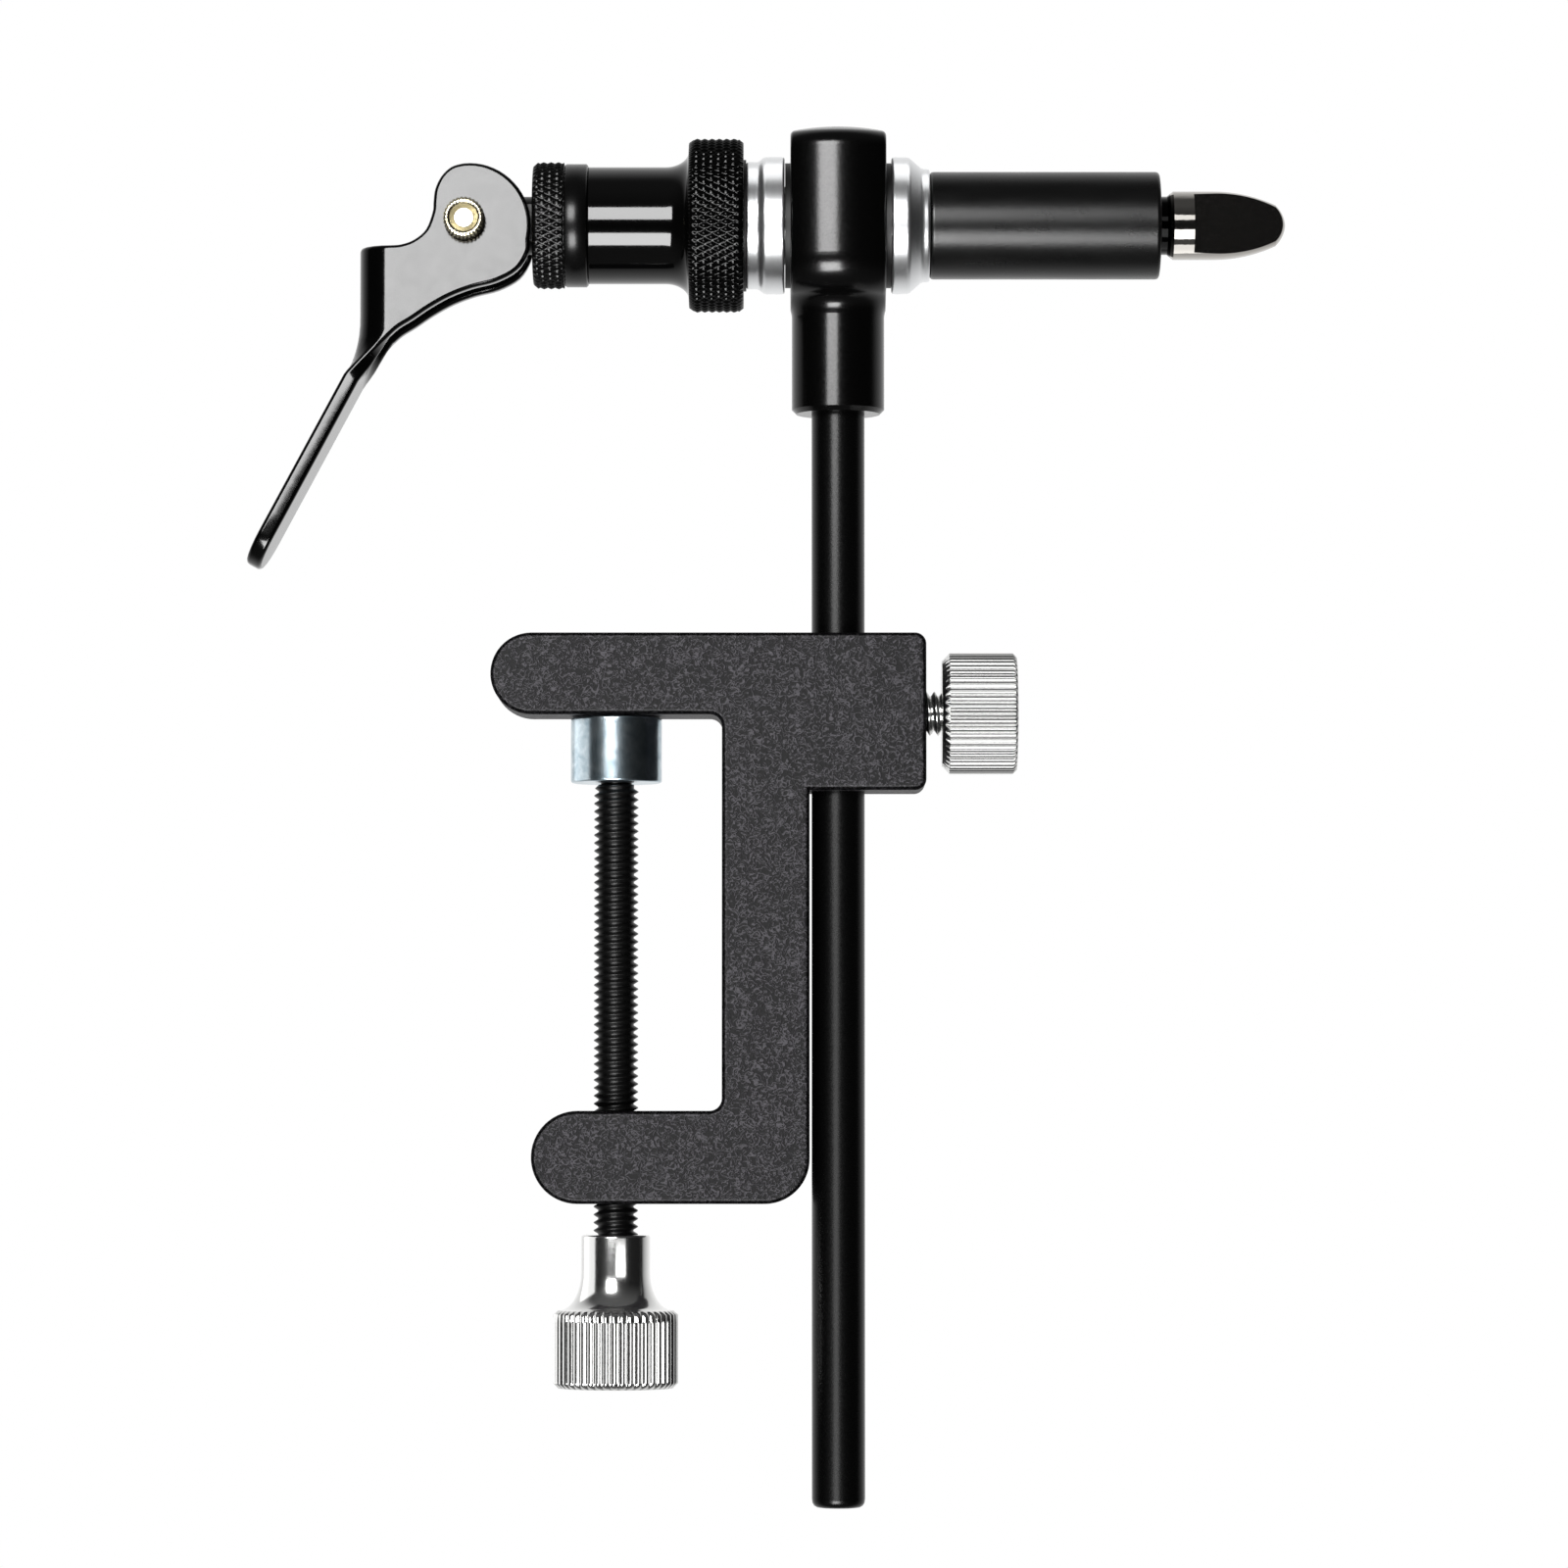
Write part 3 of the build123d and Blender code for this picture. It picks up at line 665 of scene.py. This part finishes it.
def black_oxide():
    """Black oxide steel of the screw and the drawbar."""
    look = Shader("black_oxide", grey(0.001), roughness=0.3, Specular_IOR_Level=0.3)
    grain = look.noise(0.3, detail=3.0)
    look.to("Roughness", look.spread(grain, 0.22, 0.4))
    return look.material


def zinc():
    """Bluish zinc plate with scratches and cloudy patches."""
    look = Shader("zinc", (0.5, 0.6, 0.66), roughness=0.16, metallic=1.0)
    clouds = look.noise(2.5, detail=3.0, distortion=0.6)
    scratches = look.noise(0.5, detail=2.0, distortion=2.5)
    look.to("Base Color", look.shades(clouds, (0.36, 0.46, 0.52), (0.62, 0.71, 0.76)))
    look.to("Roughness", look.spread(scratches, 0.16, 0.3))
    look.to("Normal", look.bump(scratches, depth=0.008, strength=0.4))
    return look.material


def nickel():
    """Bright plate of the knobs and the lock stud."""
    look = Shader("nickel", (0.86, 0.86, 0.85), roughness=0.22, metallic=1.0)
    clouds = look.noise(0.8, detail=3.0)
    look.to("Roughness", look.spread(clouds, 0.12, 0.2))
    return look.material


makers = (
    frame_coat, black_rod, black_gloss, lever_gloss, black_anodised, nut_black, black_satin,
    black_washer, bright_aluminium, jaw_steel, inner_steel, bronze, pivot_brass, black_oxide,
    zinc, nickel,
)
materials = {maker.__name__: maker() for maker in makers}


def dress_frame_nodes():
    """Every node of the frame takes the material of its slot."""
    for row in frame["record"]["subparts"]:
        node = frame["nodes"][row["node"]]
        node.data.materials.clear()
        node.data.materials.append(materials[row["material_slot"]])


# Pieces
def make_stem():
    low, high = place("stem")
    radius = radius_of("stem")
    outline = [(low.z, 0.0), (low.z, radius), (high.z, radius), (high.z, 0.0)]
    outline = rounded(outline, stem_end_round)
    even_normals(finished("stem_rod", turned(outline, along_stem), "stem", "black_rod", "stem"))


def make_pad():
    low, high = place("clamp_pad")
    radius = radius_of("clamp_pad")
    outline = [
        (low.z, pad_hole),
        (low.z, radius),
        (high.z, radius),
        (high.z, pad_axis_gap),
        (high.z - pad_roof, pad_axis_gap),
        (high.z - pad_roof, pad_cavity),
        (low.z + pad_lip, pad_cavity),
        (low.z + pad_lip, pad_hole),
    ]
    cup = turned(rounded(outline, pad_edge, closed=True), along_screw, closed=True)
    even_normals(finished("pad_cup", cup, "pad", "zinc", "clamp_pad"))


def make_screw_rod():
    low = place("clamp_screw")[0].z
    pad_low = place("clamp_pad")[0].z
    rod = threaded(low, pad_low - foot_gap, radius_of("clamp_screw"), along_screw)
    finished("screw_rod", rod, "screw", "black_oxide", "clamp_screw")


def make_screw_foot():
    """Plain end of the screw, held in the pad."""
    top = place("clamp_screw")[1].z
    pad_low = place("clamp_pad")[0].z
    foot_low = pad_low + pad_lip + foot_gap
    outline = [
        (pad_low - foot_gap, 0.0),
        (pad_low - foot_gap, foot_neck),
        (foot_low, foot_neck),
        (foot_low, foot_radius),
        (top, foot_radius),
        (top, 0.0),
    ]
    foot = turned(rounded(outline, foot_edge), along_screw)
    even_normals(finished("screw_foot", foot, "screw", "black_oxide"))


def make_knob():
    low, high = place("clamp_knob")
    radius = radius_of("clamp_knob")
    neck_low = high.z - knob_neck_height
    shoulder = neck_low - knob_flare_height
    flare = radius - knob_edge - knob_neck_radius
    outline = [(high.z, 0.0), (high.z, knob_neck_radius), (neck_low, knob_neck_radius)]
    outline = rounded(outline, knob_neck_edge)
    outline += flared(neck_low, -knob_flare_height, knob_neck_radius, flare, knob_flare_steps)
    outline += [(shoulder - knob_edge * knob_edge_share, radius)]
    rings = fine(shoulder - knob_ring_inset, low.z + knob_ring_inset, -knob_ring_step)
    outline += [(station, radius) for station in rings[1:]]
    outline += [(low.z + knob_edge, radius), (low.z, radius - knob_edge)]
    outline += [(low.z, radius - 2 * knob_edge), (low.z, 0.0)]
    texture = flutes(radius, knob_flutes, flute_depth)
    knob = turned(outline, along_screw, count=knob_flutes * flute_samples, texture=texture)
    finished("knob_grip", knob, "screw", "nickel", "clamp_knob")


def make_lock_thread():
    low, high = place("lock_stud")
    stud = threaded(low.x, high.x, radius_of("lock_stud"), along_lock)
    finished("lock_thread", stud, "lock_stud", "nickel", "lock_stud")


def make_lock_grip():
    low, high = place("lock_knob")
    radius = radius_of("lock_knob")
    rim = low.x + lock_bevel
    outline = [
        (low.x, 0.0),
        (low.x, radius - lock_bevel),
        (rim - lock_gap, radius - lock_gap),
        (rim, radius),
        (high.x - lock_edge, radius),
        (high.x, radius - lock_edge),
        (high.x, radius - 2 * lock_edge),
        (high.x, 0.0),
    ]
    texture = flutes(radius, lock_flutes, flute_depth, rim - lock_gap / 2)
    knob = turned(outline, along_lock, count=lock_flutes * flute_samples, texture=texture)
    even_normals(finished("lock_grip", knob, "lock_knob", "nickel", "lock_knob"))


def make_barrel():
    low, high = place("rotary_barrel")
    radius = radius_of("rotary_barrel")
    ring_left = high.x - ring_width
    flare_left = ring_left - flare_length
    rise = flare_radius - barrel_radius
    outline = [(low.x, barrel_bore), (low.x, barrel_radius)]
    outline += [(low.x + barrel_rim, barrel_radius), (flare_left, barrel_radius)]
    outline += flared(flare_left, flare_length, barrel_radius, rise, flare_steps)
    outline += [(ring_left, radius - ring_chamfer)]
    outline += knurled(ring_left + ring_chamfer, high.x - ring_chamfer, radius)
    outline += [(high.x, radius - ring_chamfer), (high.x, barrel_bore)]
    count = round(math.tau * radius / knurl_width)
    pattern = knurl(radius, count, ring_left, high.x)
    barrel = turned(outline, along_x, closed=True, count=count * knurl_samples, texture=pattern)
    finished("barrel_grip", barrel, "spindle", "black_anodised", "rotary_barrel")


def make_nut():
    low, high = place("adjusting_nut")
    radius = radius_of("adjusting_nut")
    waist = low.x + nut_grip
    face = waist + nut_shoulder
    outline = [(low.x, nut_bore), (low.x, radius - nut_chamfer)]
    outline += knurled(low.x + nut_chamfer, waist - nut_groove, radius)
    outline += [
        (waist - nut_groove / 2, nut_shoulder_radius - 2 * nut_groove),
        (waist, nut_shoulder_radius - nut_groove),
        (waist + nut_edge, nut_shoulder_radius),
        (face - nut_edge, nut_shoulder_radius),
        (face, nut_shoulder_radius - nut_edge),
        (face, nut_spigot_radius),
        (high.x, nut_spigot_radius),
        (high.x, nut_bore),
    ]
    count = round(math.tau * radius / knurl_width)
    pattern = knurl(radius, count, low.x, waist - nut_groove)
    nut = turned(outline, along_x, closed=True, count=count * knurl_samples, texture=pattern)
    finished("nut_grip", nut, "nut", "black_anodised", "adjusting_nut", look="nut_black")


def make_nose_ring():
    low, high = place("nose_collar")
    radius = radius_of("nose_collar")
    flange = low.x + nose_flange
    nose = radius_of("collet_sleeve") + nose_wall
    outline = [
        (low.x, collar_bore),
        (low.x, radius),
        (flange, radius),
        (flange + nose_cone, nose),
        (high.x, nose),
        (high.x, collar_bore),
    ]
    collar = turned(rounded(outline, collar_edge, closed=True), along_x, closed=True)
    even_normals(finished("nose_ring", collar, "spindle", "bright_aluminium", "nose_collar"))


def make_drag_ring():
    low, high = place("drag_collar")
    radius = radius_of("drag_collar")
    land = high.x - drag_land
    outline = [
        (high.x, collar_bore),
        (high.x, radius),
        (land, radius),
        (land - drag_cove, drag_step_radius),
        (low.x, drag_step_radius),
        (low.x, collar_bore),
    ]
    collar = turned(rounded(outline, collar_edge, closed=True), along_x, closed=True)
    even_normals(finished("drag_ring", collar, "spindle", "bright_aluminium", "drag_collar"))


def make_sleeve():
    low, high = place("collet_sleeve")
    radius = radius_of("collet_sleeve")
    mouth = high.x - sleeve_mouth
    outline = [
        (low.x, collar_bore),
        (low.x, radius),
        (high.x, radius),
        (high.x, sleeve_bore),
        (mouth, sleeve_throat),
        (low.x + sleeve_seat, sleeve_throat),
        (low.x + sleeve_seat, collar_bore),
    ]
    sleeve = turned(rounded(outline, sleeve_edge, closed=True), along_x, closed=True)
    even_normals(finished("sleeve_tube", sleeve, "spindle", "black_satin", "collet_sleeve"))


def make_pivot_nut():
    low, high = place("pivot_nut")
    radius = (high.x - low.x) / 2
    outline = [
        (high.y, pivot_pin_radius),
        (high.y, radius),
        (low.y + pivot_edge, radius),
        (low.y, radius - pivot_edge),
        (low.y, pivot_recess_radius),
        (low.y + pivot_recess, pivot_recess_radius),
        (low.y + pivot_recess, pivot_pin_radius),
    ]
    texture = flutes(radius, pivot_teeth, pivot_depth)
    nut = turned(outline, along_pin, closed=True, count=pivot_teeth * flute_samples, texture=texture)
    finished("pivot_nut_brass", nut, "lever", "pivot_brass", "pivot_nut")


def between(a, b, c, d, share):
    """A share of the way from b to c on the smooth curve through four values."""
    slope = c - a
    bend = 2 * a - 5 * b + 4 * c - d
    twist = 3 * b - a - 3 * c + d
    return (2 * b + slope * share + bend * share ** 2 + twist * share ** 3) / 2


def smooth_path(points):
    """Curve through a row of points, from the second to the last but one."""
    path = []
    for around in zip(points, points[1:], points[2:], points[3:]):
        for step in range(path_steps):
            path.append(tuple(between(*values, step / path_steps) for values in zip(*around)))
    path.append(points[-2])
    return path


def cam_point(angle):
    """Point of a cam whose reach falls evenly with the lever's turn."""
    turn = math.radians(angle)
    reach = cam_reach - cam_rise * turn
    x = reach * math.cos(turn) + cam_rise * math.sin(turn)
    z = reach * math.sin(turn) - cam_rise * math.cos(turn)
    return (x, z)


def lever_spine(distance):
    """Place and lean of the outside of the web and handle, a distance below the web's top."""
    angle = math.radians(handle_angle)
    radius = (bend_top - bend_corner) / math.tan(angle / 2)
    straight = web_top - bend_top
    lean = min(max(distance - straight, 0) / radius, angle)
    rest = max(distance - straight - radius * angle, 0)
    x = -web_reach - radius * (1 - math.cos(lean)) - rest * math.sin(angle)
    z = web_top - min(distance, straight) - radius * math.sin(lean) - rest * math.cos(angle)
    return x, z, lean


def flange_depth(distance):
    """How far the fold turns in: a quarter round on the web, dying out on the handle."""
    flattest = 0.001
    left = 1 - min(max(distance - fold_end, 0) / flange_fade, 1)
    return max(fold_radius * left ** fade_power, flattest)


def lever_place(distance, across, deep):
    """Point of the sheet, deep under the outside of the web."""
    x, z, lean = lever_spine(distance)
    return (pin_x + x + deep * math.cos(lean), across, pin_z + z - deep * math.sin(lean))


def lever_section(distance, half_width, inside):
    """Points across the sheet, front to back, on its outside or its inside."""
    turn = 2 * math.atan(flange_depth(distance) / fold_radius)
    radius = fold_radius / math.sin(turn)
    half = []
    for step in range(fold_steps + 1):
        part = turn * step / fold_steps
        across = half_width - fold_radius + (radius - inside) * math.sin(part)
        half.append((across, radius - (radius - inside) * math.cos(part)))
    row = [(-across, deep) for across, deep in reversed(half)] + half
    return [lever_place(distance, across, deep) for across, deep in row]


def fold_point(distance):
    """End of the fold in the plane of a cheek, from the pin."""
    x, y, z = lever_place(distance, 0, flange_depth(distance))
    return (x - pin_x, z - pin_z)


def cheek_outline():
    """Free edge of a cheek from the belly over the cam and the head to the notch."""
    first, last, step = cam_first_angle, cam_last_angle, cam_step_angle
    cam = [cam_point(angle) for angle in range(first, last + 1, step)]
    belly = [fold_point(fold_end + 1), fold_point(fold_end), *belly_outline, cam[0], cam[1]]
    head = [cam[-2], cam[-1], *head_outline, fold_point(0), (-web_reach, web_top)]
    return smooth_path(belly)[1:] + cam[1:-1] + smooth_path(head)[:-1]


def lever_tip(length, half_width, inside):
    """Rounded end of the handle, back to front."""
    back = []
    for step in range(1, tip_steps + 1):
        turn = math.pi / 2 * step / tip_steps
        distance = length - tip_round * (1 - math.sin(turn))
        back.append((distance, half_width - tip_round * (1 - math.cos(turn))))
    row = back + [(distance, -across) for distance, across in reversed(back)]
    return [lever_place(distance, across, inside) for distance, across in row]


def make_lever():
    """Sheet folded to a U whose sides die out into the flat handle."""
    half_width = radius_of("cam_lever")
    bend = bend_top - bend_corner
    angle = math.radians(handle_angle)
    length = web_top - bend_top + bend / math.tan(angle / 2) * angle + handle_length - bend
    flat_start = fold_end + flange_fade
    stations = fine(0, fold_end, fold_spacing)
    fold_row = len(stations) - 1
    stations += fine(fold_end, flat_start, fade_spacing)[1:]
    stations += fine(flat_start, length - tip_round, handle_spacing)[1:]
    outline = cheek_outline()
    mesh_data = bmesh.new()

    def verts(points):
        return [mesh_data.verts.new(point) for point in points]

    rims = []
    for inside in (0, sheet):
        side = half_width - inside
        rows = [verts(lever_section(station, half_width, inside)) for station in stations]
        front = verts([(pin_x + x, -side, pin_z + z) for x, z in outline])
        back = verts([(pin_x + x, side, pin_z + z) for x, z in outline])
        tip = verts(lever_tip(length, half_width, inside))
        for row, below in zip(rows, rows[1:]):
            for index in range(len(row) - 1):
                mesh_data.faces.new((row[index], row[index + 1], below[index + 1], below[index]))
        folds, free = rows[:fold_row + 1], rows[fold_row:]
        mesh_data.faces.new([row[0] for row in folds] + front)
        mesh_data.faces.new([row[-1] for row in folds] + back)
        mesh_data.faces.new(rows[-1] + tip)
        down, up = [row[-1] for row in free], [row[0] for row in reversed(free)]
        rims.append(front + rows[0] + back[::-1] + down + tip + up)
    for index in range(len(rims[0])):
        outer, inner = rims
        mesh_data.faces.new((outer[index - 1], outer[index], inner[index], inner[index - 1]))
    lever = finished("lever_sheet", mesh_data, "lever", "black_gloss", "cam_lever", look="lever_gloss")
    edges = lever.modifiers.new("edges", "BEVEL")
    edges.width = lever_edge * metres
    edges.use_clamp_overlap = False
    edges.segments = lever_edge_segments
    edges.limit_method = "ANGLE"
    edges.angle_limit = math.radians(lever_edge_angle)
    even_normals(lever)


# Stage, in millimetres
aim = Vector((30.0, 0.0, -12.05))
eye = Vector((30.0, -1130.0, -73.0))
frame_width = 280.7
sensor = 36.0


def make_camera():
    data = bpy.data.cameras.new("camera")
    camera = bpy.data.objects.new("camera", data)
    bpy.context.scene.collection.objects.link(camera)
    line = aim - eye
    camera.location = eye * metres
    camera.rotation_euler = line.to_track_quat("-Z", "Y").to_euler()
    data.sensor_width = sensor
    data.lens = sensor * line.length / frame_width
    data.clip_end = 20.0
    bpy.context.scene.camera = camera


def make_panel(name, left, right, low, high, radiance, pieces=(), spared=()):
    """A soft panel that faces the vise, between angles to the right of the camera and above the floor.

    With pieces named, it lights those alone. With pieces spared, it lights all but those.
    """
    distance = 1400.0
    centre = Vector((20.0, 0.0, 30.0))
    turn, rise = math.radians((left + right) / 2), math.radians((low + high) / 2)
    towards = Vector((math.sin(turn) * math.cos(rise), -math.cos(turn) * math.cos(rise), math.sin(rise)))
    data = bpy.data.lights.new(name, "AREA")
    data.shape = "RECTANGLE"
    data.size = 2 * distance * math.tan(math.radians((right - left) / 2)) * metres
    data.size_y = 2 * distance * math.tan(math.radians((high - low) / 2)) * metres
    data.energy = radiance * math.pi * data.size * data.size_y
    panel = bpy.data.objects.new(name, data)
    bpy.context.scene.collection.objects.link(panel)
    panel.location = (centre + towards * distance) * metres
    panel.rotation_euler = (-towards).to_track_quat("-Z", "Y").to_euler()
    panel.visible_camera = False
    if pieces or spared:
        linked = bpy.data.collections.new(name)
        for piece in (*pieces, *spared):
            linked.objects.link(bpy.data.objects[piece])
        panel.light_linking.receiver_collection = linked
        for entry in linked.collection_objects:
            entry.light_linking.link_state = "EXCLUDE" if spared else "INCLUDE"


def make_world():
    """White to the camera. Otherwise dark in front, white behind and faintly lit above and below."""
    backdrop = ((0.0, 0.01), (0.12, 0.07), (0.45, 0.5), (1.0, 1.0))
    glow = (("From Min", 0.3), ("From Max", 0.9), ("To Min", 0.0), ("To Max", 0.08))
    white = (*grey(1.0), 1.0)
    world = bpy.data.worlds.new("studio")
    bpy.context.scene.world = world
    world.use_nodes = True
    nodes, links = world.node_tree.nodes, world.node_tree.links
    nodes.clear()
    source = nodes.new("ShaderNodeTexCoord")
    towards = nodes.new("ShaderNodeSeparateXYZ")
    links.new(source.outputs["Generated"], towards.inputs[0])

    shade = nodes.new("ShaderNodeValToRGB")
    set_stops(shade, [(position, grey(value)) for position, value in backdrop])
    behind = nodes.new("ShaderNodeBackground")
    links.new(towards.outputs["Y"], shade.inputs["Fac"])
    links.new(shade.outputs["Color"], behind.inputs["Color"])

    height = nodes.new("ShaderNodeMath")
    height.operation = "ABSOLUTE"
    strength = nodes.new("ShaderNodeMapRange")
    for socket, value in glow:
        strength.inputs[socket].default_value = value
    faint = nodes.new("ShaderNodeBackground")
    faint.inputs["Color"].default_value = white
    links.new(towards.outputs["Z"], height.inputs[0])
    links.new(height.outputs[0], strength.inputs["Value"])
    links.new(strength.outputs["Result"], faint.inputs["Strength"])

    around = nodes.new("ShaderNodeAddShader")
    links.new(behind.outputs[0], around.inputs[0])
    links.new(faint.outputs[0], around.inputs[1])
    seen = nodes.new("ShaderNodeBackground")
    seen.inputs["Color"].default_value = white
    path = nodes.new("ShaderNodeLightPath")
    mix = nodes.new("ShaderNodeMixShader")
    out = nodes.new("ShaderNodeOutputWorld")
    links.new(path.outputs["Is Camera Ray"], mix.inputs[0])
    links.new(around.outputs[0], mix.inputs[1])
    links.new(seen.outputs[0], mix.inputs[2])
    links.new(mix.outputs[0], out.inputs["Surface"])


def floor_pale():
    """Pale floor that fades to white away from its middle, over a stretch in metres."""
    fade_start, fade_end = 0.3, 1.0
    look = Shader("floor_pale", grey(0.9), roughness=0.8)
    source = look.add("ShaderNodeTexCoord")
    length = look.add("ShaderNodeVectorMath", operation="LENGTH")
    white = look.add("ShaderNodeEmission")
    mix = look.add("ShaderNodeMixShader")
    look.links.new(source.outputs["Object"], length.inputs[0])
    fade = look.spread(length.outputs["Value"], 0.0, 1.0, fade_start, fade_end)
    look.links.new(fade, mix.inputs[0])
    look.links.new(look.shader.outputs[0], mix.inputs[1])
    look.links.new(white.outputs[0], mix.inputs[2])
    look.links.new(mix.outputs[0], look.nodes["Material Output"].inputs["Surface"])
    return look.material


def make_floor():
    """Floor well below the vise, left out of reflections and without a shadow of its own."""
    drop = 160.0
    reach = 6000.0
    level = cad_box[0][2] / metres - drop
    mesh = bpy.data.meshes.new("floor")
    square = [(-reach, -reach), (reach, -reach), (reach, reach), (-reach, reach)]
    mesh.from_pydata([(x * metres, y * metres, level * metres) for x, y in square], [], [(0, 1, 2, 3)])
    mesh.materials.append(floor_pale())
    floor = bpy.data.objects.new("floor", mesh)
    bpy.context.scene.collection.objects.link(floor)
    floor.visible_glossy = False
    floor.visible_shadow = False


def make_panels():
    """Each panel by its left, right, low and high angle in degrees. Most light a few pieces alone."""
    jaws = [frame["nodes"][node].name for node in ("front_jaw", "back_jaw")]
    lock = ["lock_grip"]
    plated = ["knob_grip", "lock_grip", "pad_cup"]
    make_panel("top_panel", -27.0, -1.0, 6.7, 30.7, radiance=14.5, spared=lock)
    make_panel("low_panel", -24.0, 2.0, -45.0, -20.0, radiance=16.0, spared=lock)
    make_panel("stem_panel", -20.0, 1.0, -14.0, -2.0, radiance=3.2, pieces=["stem_rod"])
    make_panel("knob_panel", 2.0, 33.0, -16.0, 0.0, radiance=3.0, pieces=["knob_grip", "screw_rod"])
    make_panel("collar_panel", -30.0, 30.0, 76.0, 116.0, radiance=1.2, pieces=["nose_ring", "drag_ring"])
    make_panel("jaw_panel_top", 0.0, 14.0, 14.0, 30.0, radiance=1.6, pieces=jaws)
    make_panel("jaw_panel_low", 0.0, 14.0, -52.0, -18.0, radiance=3.0, pieces=jaws)
    make_panel("jaw_floor", -20.0, 20.0, -116.0, -74.0, radiance=1.5, pieces=jaws)
    make_panel("lock_panel_top", -58.0, 58.0, 6.0, 32.0, radiance=2.0, pieces=lock)
    make_panel("lock_panel_low", -58.0, 58.0, -45.0, -20.0, radiance=2.0, pieces=lock)
    make_panel("white_card", -130.0, -72.0, -30.0, 30.0, radiance=1.0, pieces=plated)


dress_frame_nodes()
make_stem()
make_pad()
make_screw_rod()
make_screw_foot()
make_knob()
make_lock_thread()
make_lock_grip()
make_barrel()
make_nut()
make_nose_ring()
make_drag_ring()
make_sleeve()
make_pivot_nut()
make_lever()
make_camera()
make_world()
make_floor()
make_panels()
bpy.context.scene.view_settings.view_transform = "Standard"
